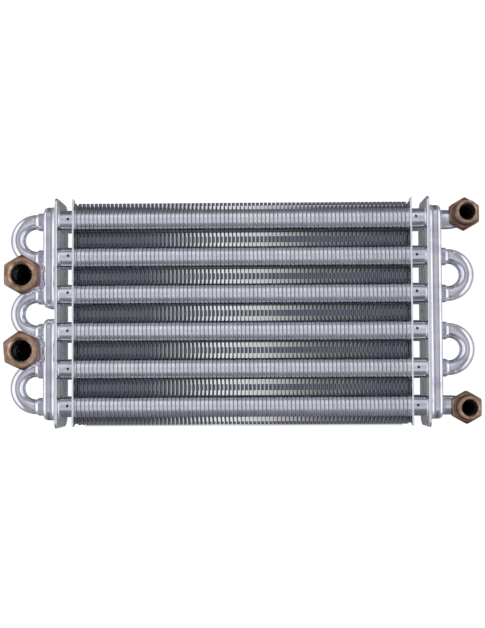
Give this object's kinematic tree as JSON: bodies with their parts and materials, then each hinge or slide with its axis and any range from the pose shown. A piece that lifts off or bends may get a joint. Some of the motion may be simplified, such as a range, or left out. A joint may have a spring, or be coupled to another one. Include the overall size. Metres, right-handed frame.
{
  "type": "boiler heat exchanger",
  "caption": "Finned-tube boiler heat exchanger with oval tubes, pressed end headers, round return bends and brass fittings for the heating and hot-water circuits.",
  "frame": {"origin": "middle of the flue side, at the height of the plate edges that it rests on", "axes": "+X along the tubes, towards the hot-water fittings; +Y across the tubes; +Z from the flue side to the burner side, the way the fittings face"},
  "size_m": [0.314, 0.153, 0.0615],
  "materials": {
    "fins": "tinned copper fins, dull grey",
    "plates": "tinned plate, satin",
    "tinned_copper": "tinned copper, glossy",
    "copper": "plain copper",
    "brass": "dull red brass"
  },
  "bodies": {
    "root": {"fin_pack": "fins", "side_plate_left": "plates", "side_plate_right": "plates", "header_plate_left": "plates", "header_plate_right": "plates", "outer_tube_1": "tinned_copper", "outer_tube_2": "tinned_copper", "outer_tube_3": "tinned_copper", "outer_tube_4": "tinned_copper", "outer_tube_5": "tinned_copper", "outer_tube_6": "tinned_copper", "inner_tube_1": "copper", "inner_tube_2": "copper", "inner_tube_3": "copper", "inner_tube_4": "copper", "inner_tube_5": "copper", "inner_tube_6": "copper", "header_shell_left_upper": "tinned_copper", "header_shell_left_lower": "tinned_copper", "header_shell_right": "tinned_copper", "return_bend_left_1": "tinned_copper", "return_bend_left_2": "tinned_copper", "return_bend_left_3": "tinned_copper", "return_bend_right_1": "tinned_copper", "return_bend_right_2": "tinned_copper", "heating_elbow_upper": "tinned_copper", "heating_elbow_lower": "tinned_copper", "hot_water_elbow_top": "tinned_copper", "hot_water_elbow_bottom": "tinned_copper", "heating_fitting_upper": "brass", "heating_fitting_lower": "brass", "hot_water_fitting_top": "brass", "hot_water_fitting_bottom": "brass"}
  },
  "joints": []
}
